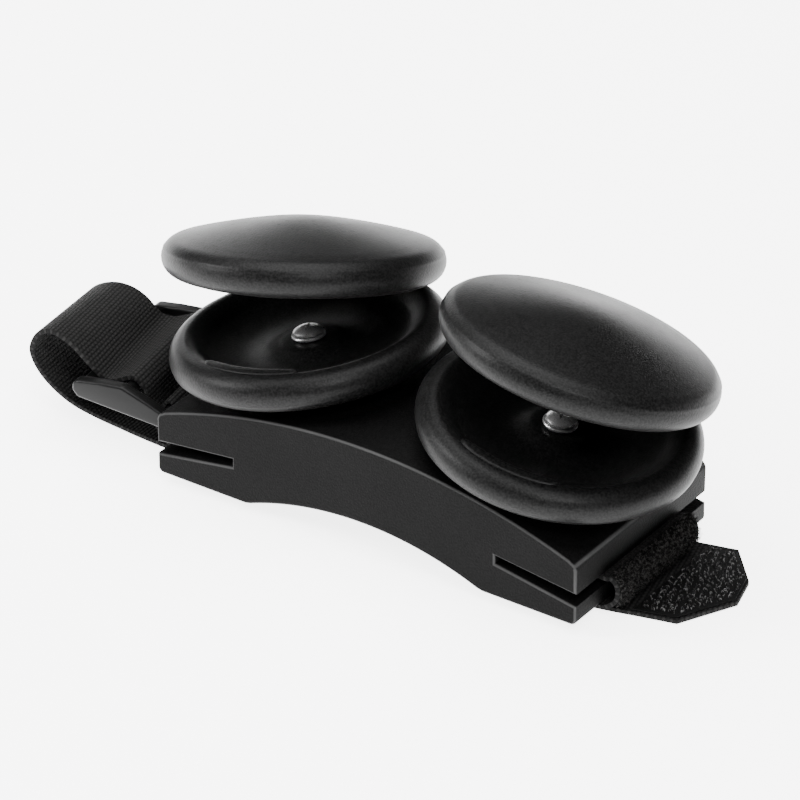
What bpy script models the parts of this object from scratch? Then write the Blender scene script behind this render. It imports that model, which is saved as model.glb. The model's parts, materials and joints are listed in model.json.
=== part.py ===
"""Foot castanets: two pairs of clapper shells on an arched board, held to the instep by a cinch strap.

Metres, +Z up. +X runs along the board to its anchored strap end, -Y is the open front of the shells.
The origin lies on the ground, under the middle of the board.
"""
import math

import bmesh
import bpy
from mathutils import Matrix, Vector

MM = 0.001
GAP = 0.3 * MM

# Board
BOARD_HALF = 66.9 * MM
BOARD_DEPTH = 62.8 * MM
FOOT_Z = 3.0 * MM
FOOT_X = 38 * MM
TOP_APEX = 33.4 * MM
TOP_RADIUS = 188 * MM
ARCH_APEX = 10.2 * MM
ARCH_RADIUS = 100.4 * MM
SLOT_INNER_X = 42 * MM
SLOT_INNER_Z = 14.1 * MM
SLOT_INNER_HEIGHT = 2.4 * MM
SLOT_MOUTH_Z = 10.6 * MM
SLOT_MOUTH_HEIGHT = 3.6 * MM
LIP_ROUND = 1.6 * MM
ARC_STEPS = 12
EDGE_CHAMFER = 0.6 * MM

# Shells: depths count down from the rim plane
SHELL_TILT = math.radians(10)
SHELL_SEAT_X = 38.6 * MM
SHELL_SEAT_Y = 1.5 * MM
SHELL_HEIGHT = 16.3 * MM
SHELL_BASE = 12.7 * MM
SHELL_SEGMENTS = 40
CREASE = (34.0 * MM, 10.2 * MM)
DOME_POWER = 1.35
BEAD_MM = [(35.6, 10.1), (36.9, 8.9), (37.8, 7.0), (38.0, 4.9), (37.6, 2.6), (36.6, 0.9), (34.8, 0),
           (31.6, 0.6), (29.3, 1.4)]
BOWL_EDGE_DEPTH = 2.3 * MM
BOWL_RADIUS = 28.5 * MM
BOWL_DEPTH = 7.6 * MM
BOSS_RADIUS = 7.5 * MM
BOSS_DEPTH = 4.5 * MM
RIM_RISE = 0.5 * MM
LIP_INNER = 29.2 * MM
LIP_OUTER = 33.2 * MM
LIP_CENTRE = math.radians(-85)
LIP_HALF_ANGLE = math.radians(27.5)
LIP_STEPS = 12
LIP_DEPTH = 3.6 * MM
OPEN_ANGLE = math.radians(16.5)

# Hinge ears at the back of the shells, with the elastic cord through them
HINGE_Y = 39.8 * MM
EAR_WIDTH = 29 * MM
EAR_INNER_Y = 34 * MM
EAR_OUTER_Y = 43 * MM
EAR_BOTTOM = 3.9 * MM
EAR_RELIEF = math.radians(17.5)
CORD_X = 8 * MM
CORD_RADIUS = 1.2 * MM
CORD_HOLE_RADIUS = 1.9 * MM
CORD_BEND = 2.6 * MM
CORD_BACK_OFF = 0.5 * MM

# Seat pad, washer and screw under each lower shell
PAD_RADIUS = 11 * MM
PAD_THICKNESS = 2.0 * MM
PAD_STANDS_PROUD = 0.3 * MM
WASHER_RADIUS = 4.7 * MM
WASHER_THICKNESS = 0.8 * MM
SCREW_RADIUS = 2.0 * MM
SCREW_HOLE_RADIUS = 2.4 * MM
SCREW_HEAD_RADIUS = 3.8 * MM
SCREW_HEAD_HEIGHT = 2.6 * MM
SCREW_LENGTH = 20 * MM
SCREW_POINT = 3 * MM
RECESS_DEPTH = 1.5 * MM

# Anchor screws through the lips of the board
ANCHOR_X = 54 * MM
ANCHOR_Y = 10 * MM
ANCHOR_RADIUS = 1.4 * MM
ANCHOR_HOLE_RADIUS = 1.8 * MM
ANCHOR_HEAD_RADIUS = 2.8 * MM
ANCHOR_HEAD_Z = 3.3 * MM
ANCHOR_HEAD_HEIGHT = 1.5 * MM
ANCHOR_TIP_Z = 18.5 * MM
ANCHOR_POINT = 2 * MM

# Strap, buckle and tapes
WEB_WIDTH = 38 * MM
WEB_THICKNESS = 1.2 * MM
WEB_EXIT_Z = 11.3 * MM
WEB_END_SETBACK = 2.5 * MM
TAB_THICKNESS = 1.9 * MM
TAB_EYE_WALL = 1.2 * MM
TAPE_THICKNESS = 1.1 * MM
BUCKLE_YAW = math.radians(9.5)
BUCKLE_PITCH = math.radians(8)
BUCKLE_HALF = 24.6 * MM
RAIL_WIDTH = 3.6 * MM
SWIVEL_X = -75.5 * MM
SWIVEL_Z = 13.2 * MM
BAR_RADIUS = 1.7 * MM
CENTRE_BAR = (-12.0 * MM, 3.4 * MM)
RAIL_MM = [(2.6, -1.9), (3.4, 0.0), (2.8, 2.0), (-4.0, 4.0), (-12.6, 6.2), (-26.2, 3.2), (-27.4, 2.2),
           (-27.4, -0.4), (-25.4, -1.9)]
THUMB_BAR_MM = [(-27.0, -2.0), (-21.6, -2.0), (-21.2, -0.4), (-22.4, 1.1), (-26.6, 1.1)]
TURN_MM = [(69.0, 11.9), (70.9, 10.7), (71.6, 8.3), (70.9, 5.3), (68.2, 3.0)]
TURN_END_X = 64 * MM
TAIL_MM = [(-73.4, -16.8), (40, -18.2), (60, -18.2), (68, -16.6), (76, -14.4), (85.2, -11.6),
           (93.4, 4.8), (90.6, 15.0), (81.4, 25.3), (71.3, 22.9), (60, 20.6), (40, 20.4), (-73.4, 21.2)]
HOOK_TAPE_MM = [(73.4, -14.2), (84.7, -10.8), (92.6, 4.9), (89.9, 14.7), (81.1, 24.4), (73.4, 22.5)]
PILE_FROM_X = 69 * MM
PILE_FROM_Z = 4.2 * MM


def add_material(name, colour, roughness, metallic=0.0):
    """Make a Principled material of one colour."""
    material = bpy.data.materials.new(name)
    material.use_nodes = True
    shader = material.node_tree.nodes["Principled BSDF"]
    shader.inputs["Base Color"].default_value = (*colour, 1.0)
    shader.inputs["Roughness"].default_value = roughness
    shader.inputs["Metallic"].default_value = metallic
    return material


def add_node(name, bm, material, place=None, smooth_angle=None):
    """Turn a bmesh into a named object at a place."""
    mesh = bpy.data.meshes.new(name)
    bmesh.ops.recalc_face_normals(bm, faces=bm.faces)
    bm.to_mesh(mesh)
    bm.free()
    if smooth_angle:
        mesh.shade_smooth()
        mesh.set_sharp_from_angle(angle=math.radians(smooth_angle))
    mesh.materials.append(material)
    node = bpy.data.objects.new(name, mesh)
    bpy.context.scene.collection.objects.link(node)
    if place:
        node.matrix_world = place
    return node


def combine(body, tool, operation):
    """Return the exact Boolean of two meshes, and free both."""
    pair = []
    for bm in (body, tool):
        mesh = bpy.data.meshes.new("stock")
        bmesh.ops.recalc_face_normals(bm, faces=bm.faces)
        bm.to_mesh(mesh)
        bm.free()
        stock = bpy.data.objects.new("stock", mesh)
        bpy.context.scene.collection.objects.link(stock)
        pair.append(stock)
    boolean = pair[0].modifiers.new("boolean", "BOOLEAN")
    boolean.object = pair[1]
    boolean.operation = operation
    depsgraph = bpy.context.evaluated_depsgraph_get()
    result = bmesh.new()
    result.from_mesh(pair[0].evaluated_get(depsgraph).data)
    for stock in pair:
        bpy.data.objects.remove(stock)
    return result


def turned(profile, segments):
    """Turn an open profile of (radius, height) points, which starts and ends on the Z axis."""
    bm = bmesh.new()
    verts = [bm.verts.new((radius, 0, height)) for radius, height in profile]
    edges = [bm.edges.new(pair) for pair in zip(verts, verts[1:])]
    geometry = verts + edges
    bmesh.ops.spin(bm, geom=geometry, cent=(0, 0, 0), axis=(0, 0, 1), angle=math.tau,
                   steps=segments, use_merge=True)
    bmesh.ops.remove_doubles(bm, verts=bm.verts, dist=0.001 * MM)
    return bm


def prism(outline, low, high, axis="Y"):
    """Extrude a closed outline of two coordinates along an axis."""
    bm = bmesh.new()
    if axis == "Y":
        points = [(a, low, b) for a, b in outline]
        step = (0, high - low, 0)
    elif axis == "X":
        points = [(low, a, b) for a, b in outline]
        step = (high - low, 0, 0)
    else:
        points = [(a, b, low) for a, b in outline]
        step = (0, 0, high - low)
    face = bm.faces.new([bm.verts.new(point) for point in points])
    grown = bmesh.ops.extrude_face_region(bm, geom=[face])
    moved = [item for item in grown["geom"] if isinstance(item, bmesh.types.BMVert)]
    bmesh.ops.translate(bm, verts=moved, vec=step)
    bmesh.ops.recalc_face_normals(bm, faces=bm.faces)
    return bm


def rod(radius, low, high, segments=16, place=None):
    """Make a plain cylinder along Z."""
    bm = bmesh.new()
    middle = Matrix.Translation((0, 0, (low + high) / 2))
    bmesh.ops.create_cone(bm, cap_ends=True, segments=segments, radius1=radius, radius2=radius,
                          depth=high - low, matrix=(place or Matrix()) @ middle)
    return bm


def arc(centre, radius, start, end, steps):
    """Points on an arc, its angles in degrees."""
    points = []
    for index in range(steps + 1):
        angle = math.radians(start + (end - start) * index / steps)
        points.append((centre[0] + radius * math.cos(angle), centre[1] + radius * math.sin(angle)))
    return points


def smooth_path(points, steps):
    """Read a Catmull-Rom curve through points of any dimension."""
    padded = [points[0]] + list(points) + [points[-1]]
    path = []
    for before, start, end, after in zip(padded, padded[1:], padded[2:], padded[3:]):
        for step in range(steps):
            t = step / steps
            path.append(tuple(
                0.5 * (2 * b + (c - a) * t + (2 * a - 5 * b + 4 * c - d) * t * t
                       + (3 * b - a - 3 * c + d) * t ** 3)
                for a, b, c, d in zip(before, start, end, after)))
    path.append(tuple(points[-1]))
    return path


def in_metres(points):
    """Points given in millimetres."""
    return [tuple(value * MM for value in point) for point in points]


def stations(rows):
    """Ribbon stations from rows of x, z, sideways shift in mm, yaw and near-edge lift in degrees."""
    return [(x * MM, z * MM, shift * MM, math.radians(yaw), math.radians(lift))
            for x, z, shift, yaw, lift in rows]


def level(points):
    """Ribbon stations from (x, z) points, with no shift, yaw or lift."""
    return [(x, z, 0, 0, 0) for x, z in points]


def ribbon(path, inner, outer, width):
    """Sweep a flat band along its stations, from its inner to its outer offset."""
    bm = bmesh.new()
    loops = []
    for index, (x, z, shift, yaw, lift) in enumerate(path):
        back = path[max(index - 1, 0)]
        front = path[min(index + 1, len(path) - 1)]
        heading = Vector((front[0] - back[0], front[1] - back[1])).normalized()
        normal = Vector((-heading.y, heading.x))
        loop = []
        for offset, side in ((inner, -1), (inner, 1), (outer, 1), (outer, -1)):
            along = side * width / 2
            loop.append(bm.verts.new((x + normal.x * offset - along * math.sin(yaw),
                                      shift + along * math.cos(yaw),
                                      z + normal.y * offset - along * math.sin(lift))))
        loops.append(loop)
    for first, second in zip(loops, loops[1:]):
        for corner in range(4):
            following = (corner + 1) % 4
            bm.faces.new((first[corner], first[following], second[following], second[corner]))
    bm.faces.new(loops[0])
    bm.faces.new(reversed(loops[-1]))
    bmesh.ops.recalc_face_normals(bm, faces=bm.faces)
    return bm


def top_z(x):
    """Height of the board's arched top."""
    return TOP_APEX - TOP_RADIUS + math.sqrt(TOP_RADIUS ** 2 - x * x)


def slot_z(x, exit_z):
    """Height of webbing in a slot, on its way from the slot's inner end to its height at the mouth."""
    share = (abs(x) - SLOT_INNER_X) / (BOARD_HALF - SLOT_INNER_X)
    return SLOT_INNER_Z + share * (exit_z - SLOT_INNER_Z)


def seat_place(side):
    """Place of a clapper pair: its origin is midway between the two closed rims."""
    tilt = Matrix.Rotation(side * SHELL_TILT, 4, "Y")
    lift = SHELL_BASE + RIM_RISE + PAD_STANDS_PROUD + GAP
    seat = Matrix.Translation((side * SHELL_SEAT_X, SHELL_SEAT_Y, top_z(SHELL_SEAT_X)))
    return seat @ tilt @ Matrix.Translation((0, 0, lift))


def open_place(side):
    """Place of an upper shell at rest: on the hinge axis, swung open."""
    return seat_place(side) @ Matrix.Translation((0, HINGE_Y, 0)) @ Matrix.Rotation(-OPEN_ANGLE, 4, "X")


def board_half_outline():
    """Right half of the board's section, from the middle of its top to the middle of its arch."""
    outline = []
    for index in range(ARC_STEPS + 1):
        x = BOARD_HALF * index / ARC_STEPS
        outline.append((x, top_z(x)))
    half_slot = SLOT_INNER_HEIGHT / 2
    outline.append((BOARD_HALF, SLOT_MOUTH_Z + SLOT_MOUTH_HEIGHT / 2))
    outline += arc((SLOT_INNER_X + half_slot, SLOT_INNER_Z), half_slot, 85, 260, 6)
    outline.append((BOARD_HALF, SLOT_MOUTH_Z - SLOT_MOUTH_HEIGHT / 2))
    outline += arc((BOARD_HALF - LIP_ROUND, FOOT_Z + LIP_ROUND), LIP_ROUND, 0, -90, 4)
    outline.append((FOOT_X, FOOT_Z))
    arch_half = ARC_STEPS // 2 + 2
    reach = math.sqrt(ARCH_RADIUS ** 2 - (ARCH_RADIUS - (ARCH_APEX - FOOT_Z)) ** 2)
    for index in range(arch_half - 1, -1, -1):
        x = min(reach, FOOT_X) * index / arch_half
        outline.append((x, ARCH_APEX - ARCH_RADIUS + math.sqrt(ARCH_RADIUS ** 2 - x * x)))
    return outline


def make_board():
    """The arched board, with its end slots, shell seats and screw holes."""
    right = board_half_outline()
    left = [(-x, z) for x, z in reversed(right[1:-1])]
    bm = prism(right + left, -BOARD_DEPTH / 2, BOARD_DEPTH / 2)
    rims = []
    for edge in bm.edges:
        ends = [vert.co.y for vert in edge.verts]
        if abs(ends[0] - ends[1]) < GAP and abs(abs(ends[0]) - BOARD_DEPTH / 2) < GAP:
            rims.append(edge)
    bmesh.ops.bevel(bm, geom=rims, offset=EDGE_CHAMFER, offset_type="OFFSET", segments=1,
                    profile=0.5, affect="EDGES", material=-1)
    for side in (-1, 1):
        seat = seat_place(side)
        pad_top = -(SHELL_BASE + RIM_RISE + GAP)
        pocket_floor = pad_top - PAD_THICKNESS - GAP
        pocket = rod(PAD_RADIUS + GAP, pocket_floor, pocket_floor + 12 * MM, 32, seat)
        bm = combine(bm, pocket, "DIFFERENCE")
        hole_end = -(BOSS_DEPTH + RIM_RISE) - SCREW_LENGTH - GAP
        bm = combine(bm, rod(SCREW_HOLE_RADIUS, hole_end, 0, 16, seat), "DIFFERENCE")
        for row in (-1, 1):
            axis = Matrix.Translation((side * ANCHOR_X, row * ANCHOR_Y, 0))
            shank = rod(ANCHOR_HOLE_RADIUS, 0, ANCHOR_TIP_Z + GAP, 12, axis)
            bm = combine(bm, shank, "DIFFERENCE")
            mouth = rod(ANCHOR_HEAD_RADIUS + GAP, 0, ANCHOR_HEAD_Z + ANCHOR_HEAD_HEIGHT + GAP, 16, axis)
            bm = combine(bm, mouth, "DIFFERENCE")
    add_node("base_board", bm, BOARD_BLACK, smooth_angle=20)


def shell_profile(height):
    """Section of a shell as (radius, height), from the middle of its dome round the rim into the bowl.

    The dome is cut flat at the given height."""
    points = [(0, height)]
    dome_steps = 7
    for index in range(1, dome_steps + 1):
        share = index / dome_steps
        depth = SHELL_HEIGHT - (SHELL_HEIGHT - CREASE[1]) * share ** DOME_POWER
        if depth < height - GAP:
            points.append((share * CREASE[0], depth))
        elif len(points) == 1 or height == SHELL_HEIGHT:
            points.append((share * CREASE[0], min(depth, height)))
        else:
            points[-1] = (share * CREASE[0], height)
    points += in_metres(BEAD_MM) + [(BOWL_RADIUS, BOWL_EDGE_DEPTH)]
    bowl_steps = 5
    for index in range(1, bowl_steps + 1):
        angle = math.pi / 2 * index / bowl_steps
        floor_radius = BOSS_RADIUS + 2 * MM
        radius = floor_radius + (BOWL_RADIUS - floor_radius) * math.cos(angle)
        points.append((radius, BOWL_EDGE_DEPTH + (BOWL_DEPTH - BOWL_EDGE_DEPTH) * math.sin(angle)))
    points += [(BOSS_RADIUS + MM, BOWL_DEPTH), (BOSS_RADIUS, BOSS_DEPTH), (0, BOSS_DEPTH)]
    return [(radius, -RIM_RISE - depth) for radius, depth in points]


def make_shell_body(height, lip_centre, screw_hole):
    """A shell with its dome down: turned body, striking lip at the front and hinge ear at the back."""
    bm = turned(shell_profile(height), SHELL_SEGMENTS)
    lip_top = -GAP / 2
    outline = []
    for radius, direction in ((LIP_INNER, 1), (LIP_OUTER, -1)):
        for index in range(LIP_STEPS + 1):
            angle = lip_centre + direction * LIP_HALF_ANGLE * (2 * index / LIP_STEPS - 1)
            outline.append((radius * math.cos(angle), radius * math.sin(angle)))
    bm = combine(bm, prism(outline, lip_top - LIP_DEPTH, lip_top, "Z"), "UNION")
    relief = (EAR_OUTER_Y - HINGE_Y) * math.tan(EAR_RELIEF)
    ear = [(EAR_INNER_Y, lip_top), (HINGE_Y, lip_top), (EAR_OUTER_Y, lip_top - relief),
           (EAR_OUTER_Y, -EAR_BOTTOM), (EAR_INNER_Y, -EAR_BOTTOM)]
    bm = combine(bm, prism(ear, -EAR_WIDTH / 2, EAR_WIDTH / 2, "X"), "UNION")
    for side in (-1, 1):
        axis = Matrix.Translation((side * CORD_X, HINGE_Y, 0))
        bm = combine(bm, rod(CORD_HOLE_RADIUS, -2 * EAR_BOTTOM, EAR_BOTTOM, 12, axis), "DIFFERENCE")
    if screw_hole:
        bm = combine(bm, rod(SCREW_HOLE_RADIUS, -2 * SHELL_HEIGHT, 0, 16), "DIFFERENCE")
    return bm


def make_shells(side, name):
    """One clapper pair: the fixed lower shell and the hinged upper shell."""
    lower = make_shell_body(SHELL_BASE, LIP_CENTRE, True)
    add_node(name + "_lower_shell", lower, SHELL_BLACK, seat_place(side), 35)
    upper = make_shell_body(SHELL_HEIGHT, -math.pi - LIP_CENTRE, False)
    turn_over = Matrix.Translation((0, -HINGE_Y, 0)) @ Matrix.Rotation(math.pi, 4, "Y")
    bmesh.ops.transform(upper, matrix=turn_over, verts=upper.verts)
    add_node(name + "_upper_shell", upper, SHELL_BLACK, open_place(side), 35)


def make_cord(name, place, up):
    """One half of the elastic cord ring: a U that hooks through both holes of an ear."""
    deep = EAR_BOTTOM + GAP + CORD_RADIUS
    corner = arc((CORD_X - CORD_BEND, -(deep - CORD_BEND)), CORD_BEND, 0, -90, 4)
    half = [(CORD_X, -CORD_BACK_OFF)] + corner
    route = half + [(-x, z) for x, z in reversed(half)]
    curve = bpy.data.curves.new(name, "CURVE")
    curve.dimensions = "3D"
    curve.bevel_depth = CORD_RADIUS
    curve.bevel_resolution = 2
    curve.use_fill_caps = True
    spline = curve.splines.new("POLY")
    spline.points.add(len(route) - 1)
    for point, (x, z) in zip(spline.points, route):
        point.co = (x, 0, z * up, 1)
    curve.materials.append(CORD_BLACK)
    cord = bpy.data.objects.new(name, curve)
    bpy.context.scene.collection.objects.link(cord)
    cord.matrix_world = place


def make_seat_hardware(side, name):
    """Pad, washer and pan-head screw that hold a lower shell on the board."""
    seat = seat_place(side)
    pad_top = -(SHELL_BASE + RIM_RISE + GAP)
    pad = rod(PAD_RADIUS, pad_top - PAD_THICKNESS, pad_top, 32)
    pad = combine(pad, rod(SCREW_HOLE_RADIUS, pad_top - 2 * PAD_THICKNESS, 0, 16), "DIFFERENCE")
    add_node(name + "_seat_pad", pad, PAD_BLACK, seat, 35)
    floor = -(BOSS_DEPTH + RIM_RISE) + GAP
    washer = rod(WASHER_RADIUS, floor, floor + WASHER_THICKNESS, 24)
    washer = combine(washer, rod(SCREW_HOLE_RADIUS, floor - MM, floor + 3 * MM, 16), "DIFFERENCE")
    add_node(name + "_screw_washer", washer, CHROME, seat, 35)
    under_head = floor + WASHER_THICKNESS + GAP
    tip = under_head - SCREW_LENGTH
    profile = [(0, tip), (SCREW_RADIUS * 0.3, tip), (SCREW_RADIUS, tip + SCREW_POINT),
               (SCREW_RADIUS, under_head), (SCREW_HEAD_RADIUS, under_head),
               (SCREW_HEAD_RADIUS, under_head + SCREW_HEAD_HEIGHT * 0.45),
               (SCREW_HEAD_RADIUS * 0.8, under_head + SCREW_HEAD_HEIGHT * 0.88),
               (0, under_head + SCREW_HEAD_HEIGHT)]
    screw = turned(profile, 20)
    for turn in (0, math.pi / 2):
        recess_floor = under_head + SCREW_HEAD_HEIGHT - RECESS_DEPTH
        blade = rod(0.75 * SCREW_HEAD_RADIUS, recess_floor, recess_floor + 2 * RECESS_DEPTH, 4)
        squeeze = Matrix.Rotation(turn, 4, "Z") @ Matrix.Diagonal((1, 0.22, 1, 1))
        bmesh.ops.transform(blade, matrix=squeeze, verts=blade.verts)
        screw = combine(screw, blade, "DIFFERENCE")
    add_node(name + "_shell_screw", screw, CHROME, seat, 35)


def make_anchor_screws(side, name):
    """Two countersunk screws that clamp the webbing in a slot."""
    under = ANCHOR_HEAD_Z + ANCHOR_HEAD_HEIGHT
    profile = [(0, ANCHOR_HEAD_Z), (ANCHOR_HEAD_RADIUS, ANCHOR_HEAD_Z), (ANCHOR_RADIUS, under),
               (ANCHOR_RADIUS, ANCHOR_TIP_Z - ANCHOR_POINT), (GAP, ANCHOR_TIP_Z), (0, ANCHOR_TIP_Z)]
    for row, row_name in ((-1, "front"), (1, "back")):
        place = Matrix.Translation((side * ANCHOR_X, row * ANCHOR_Y, 0))
        add_node(name + "_anchor_screw_" + row_name, turned(profile, 14), SCREW_BLACK, place, 35)


def drill_for_anchors(bm, side):
    """Cut the anchor screws' holes through a webbing end."""
    for row in (-1, 1):
        axis = Matrix.Translation((side * ANCHOR_X, row * ANCHOR_Y, 0))
        bm = combine(bm, rod(ANCHOR_HOLE_RADIUS, ANCHOR_HEAD_Z + MM, 2 * ANCHOR_TIP_Z, 12, axis), "DIFFERENCE")
    return bm


def buckle_place():
    """Place of the buckle: on the axis of its swivel bar, turned a little and its free end raised."""
    turn = Matrix.Rotation(BUCKLE_YAW, 4, "Z") @ Matrix.Rotation(BUCKLE_PITCH, 4, "Y")
    return Matrix.Translation((SWIVEL_X, 0, SWIVEL_Z)) @ turn


def make_buckle():
    """Ladder-lock buckle: two cambered rails joined by three cross bars."""
    rail = in_metres(RAIL_MM)
    inside = BUCKLE_HALF - RAIL_WIDTH
    bm = prism(rail, inside, BUCKLE_HALF)
    bars = [prism(rail, -BUCKLE_HALF, -inside)]
    lay_down = Matrix.Rotation(math.pi / 2, 4, "X")
    bars.append(rod(BAR_RADIUS, -inside - MM, inside + MM, 12, lay_down))
    x, z = CENTRE_BAR
    bars.append(rod(BAR_RADIUS, -inside - MM, inside + MM, 12, Matrix.Translation((x, 0, z)) @ lay_down))
    bars.append(prism(in_metres(THUMB_BAR_MM), -inside - MM, inside + MM))
    for bar in bars:
        bm = combine(bm, bar, "UNION")
    add_node("buckle", bm, BUCKLE_BLACK, buckle_place(), 35)


def make_tab():
    """Short webbing tab: folded round the buckle's swivel bar, both ends in the left slot."""
    inner_x = -(SLOT_INNER_X + WEB_END_SETBACK)
    path = [(x, slot_z(x, SLOT_MOUTH_Z)) for x in (inner_x, -ANCHOR_X, -BOARD_HALF)]
    path += [(-69.5 * MM, 11.4 * MM), (SWIVEL_X + 2.4 * MM, SWIVEL_Z)]
    half = TAB_THICKNESS / 2
    width = WEB_WIDTH - 2 * MM
    rows = level(path)
    rows[-1] = (*path[-1], 0, BUCKLE_YAW, 0)
    bm = ribbon(smooth_path(rows, 3), -half, half, width)
    bore_radius = BAR_RADIUS + 0.5 * MM
    lay_down = buckle_place() @ Matrix.Rotation(math.pi / 2, 4, "X")
    eye = rod(bore_radius + TAB_EYE_WALL, -width / 2, width / 2, 20, lay_down)
    bm = combine(bm, eye, "UNION")
    bm = combine(bm, rod(bore_radius, -WEB_WIDTH, WEB_WIDTH, 20, lay_down), "DIFFERENCE")
    bm = drill_for_anchors(bm, -1)
    add_node("buckle_tab", bm, WEB_BLACK, smooth_angle=40)


def make_strap():
    """The long webbing: anchored run, loop over the buckle and tail, split where they bend on the buckle."""
    half = WEB_THICKNESS / 2
    run_z = WEB_THICKNESS + GAP + half
    inner_x = SLOT_INNER_X + WEB_END_SETBACK
    outside = [(x, slot_z(x, WEB_EXIT_Z)) for x in (inner_x, ANCHOR_X, BOARD_HALF)]
    outside += in_metres(TURN_MM) + [(TURN_END_X, run_z)]
    turn = smooth_path(level(outside), 4)
    under = level([(x * MM, run_z) for x in (50, 20, -20, -50, -64)])
    rise = smooth_path(stations([(-67, 2.2, 0, 0, 0), (-71.4, 3.1, -0.1, 1, 0), (-75.2, 5.0, -0.3, 3, 0),
                                 (-77.9, 7.6, -0.4, 5, 0)]), 3)
    run = ribbon(turn + under + rise, -half, half, WEB_WIDTH)
    add_node("strap_anchor_run", drill_for_anchors(run, 1), WEB_BLACK, smooth_angle=40)
    loop = ribbon(loop_path(), -half, half, WEB_WIDTH)
    add_node("strap_loop", loop, WEB_BLACK, smooth_angle=40)
    add_node("strap_tail", prism(in_metres(TAIL_MM), 0, WEB_THICKNESS, "Z"), WEB_BLACK)
    low = WEB_THICKNESS + GAP
    hook = prism(in_metres(HOOK_TAPE_MM), low, low + TAPE_THICKNESS, "Z")
    add_node("hook_tape", hook, HOOK_BLACK)
    pile_path = [point for point in turn if point[0] > PILE_FROM_X and point[1] > PILE_FROM_Z]
    pile = ribbon(pile_path, half + GAP, half + GAP + TAPE_THICKNESS, WEB_WIDTH - MM)
    add_node("pile_tape", pile, PILE_BLACK, smooth_angle=40)


def loop_path():
    """Route of the webbing up through the buckle, over its centre bar and round the open loop."""
    rows = [(-78.9, 8.9, -0.5, 6, 0), (-80.9, 12.0, -0.8, 9.5, 0), (-81.9, 15.4, -1.0, 9.5, 0),
            (-83.1, 19.0, -1.2, 9.5, 0), (-86.3, 21.4, -1.7, 9.5, 0), (-89.7, 20.2, -2.3, 10, 0),
            (-92.8, 18.9, -2.9, 11, 0), (-96.2, 18.9, -3.4, 12.5, 0), (-98.8, 20.9, -3.9, 12.5, 0),
            (-101.8, 23.6, -4.4, 12, 0.5), (-105.2, 26.0, -5.0, 12.5, 2.5), (-109.2, 27.2, -5.6, 13.5, 5),
            (-113.3, 27.0, -6.2, 14.5, 8), (-117.0, 24.8, -6.6, 15, 9), (-119.3, 21.0, -6.7, 15, 8),
            (-119.4, 17.6, -6.2, 14.5, 7), (-117.4, 13.2, -4.8, 13, 5), (-113.6, 8.8, -2.8, 11, 3),
            (-108.4, 5.2, -0.8, 9, 1.5), (-101.5, 2.9, 1.0, 6.5, 0.5), (-94.0, 1.7, 2.0, 4, 0),
            (-86.0, 1.0, 2.2, 2, 0), (-79.0, 0.7, 2.2, 0.5, 0), (-74.0, 0.6, 2.2, 0, 0)]
    return smooth_path(stations(rows), 2)


for item in list(bpy.data.objects):
    bpy.data.objects.remove(item)

SHELL_BLACK = add_material("shell_black", (0.022, 0.022, 0.023), 0.5)
BOARD_BLACK = add_material("board_black", (0.02, 0.02, 0.021), 0.6)
PAD_BLACK = add_material("pad_black", (0.012, 0.012, 0.012), 0.85)
CORD_BLACK = add_material("cord_black", (0.012, 0.012, 0.013), 0.8)
CHROME = add_material("chrome", (0.72, 0.72, 0.73), 0.18, 1.0)
SCREW_BLACK = add_material("screw_black", (0.03, 0.03, 0.032), 0.4, 1.0)
BUCKLE_BLACK = add_material("buckle_black", (0.025, 0.025, 0.026), 0.42)
WEB_BLACK = add_material("web_black", (0.018, 0.018, 0.019), 0.9)
HOOK_BLACK = add_material("hook_black", (0.02, 0.02, 0.02), 0.8)
PILE_BLACK = add_material("pile_black", (0.022, 0.022, 0.021), 0.95)

make_board()
for pair_side, pair_name in ((-1, "left"), (1, "right")):
    make_shells(pair_side, pair_name)
    lower_axis = seat_place(pair_side) @ Matrix.Translation((0, HINGE_Y, 0))
    make_cord(pair_name + "_hinge_cord_lower", lower_axis, 1)
    make_cord(pair_name + "_hinge_cord_upper", open_place(pair_side), -1)
    make_seat_hardware(pair_side, pair_name)
    make_anchor_screws(pair_side, pair_name)
make_buckle()
make_tab()
make_strap()
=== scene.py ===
import json
import math
import random

import bmesh
import bpy
from mathutils import Matrix, Vector


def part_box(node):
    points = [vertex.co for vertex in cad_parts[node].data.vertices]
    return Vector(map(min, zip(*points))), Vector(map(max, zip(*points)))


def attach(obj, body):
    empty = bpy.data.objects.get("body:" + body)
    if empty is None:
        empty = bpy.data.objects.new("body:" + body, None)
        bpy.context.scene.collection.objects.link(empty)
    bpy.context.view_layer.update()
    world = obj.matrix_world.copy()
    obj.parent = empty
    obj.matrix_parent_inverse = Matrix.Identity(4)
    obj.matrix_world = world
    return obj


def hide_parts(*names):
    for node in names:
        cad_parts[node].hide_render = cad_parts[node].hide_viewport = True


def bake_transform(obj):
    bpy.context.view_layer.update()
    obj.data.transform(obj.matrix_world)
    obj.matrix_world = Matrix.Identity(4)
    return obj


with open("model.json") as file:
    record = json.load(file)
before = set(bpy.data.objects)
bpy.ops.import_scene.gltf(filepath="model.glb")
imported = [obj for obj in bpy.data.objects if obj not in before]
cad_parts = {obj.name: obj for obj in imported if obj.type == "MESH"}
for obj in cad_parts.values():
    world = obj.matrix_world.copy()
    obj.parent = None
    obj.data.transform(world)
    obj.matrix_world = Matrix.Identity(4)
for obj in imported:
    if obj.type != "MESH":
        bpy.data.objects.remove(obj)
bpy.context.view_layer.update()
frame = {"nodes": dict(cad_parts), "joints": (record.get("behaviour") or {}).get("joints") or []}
MM = 0.001

# The board: one moulded block of hard black plastic, arched on top to carry the shells and hollowed
# underneath for the instep. A slot in each end takes the webbing. Its moulded edges are slightly
# rounded, with a painted highlight and some rubbing along them, and its faces have a fine matt texture.


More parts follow.
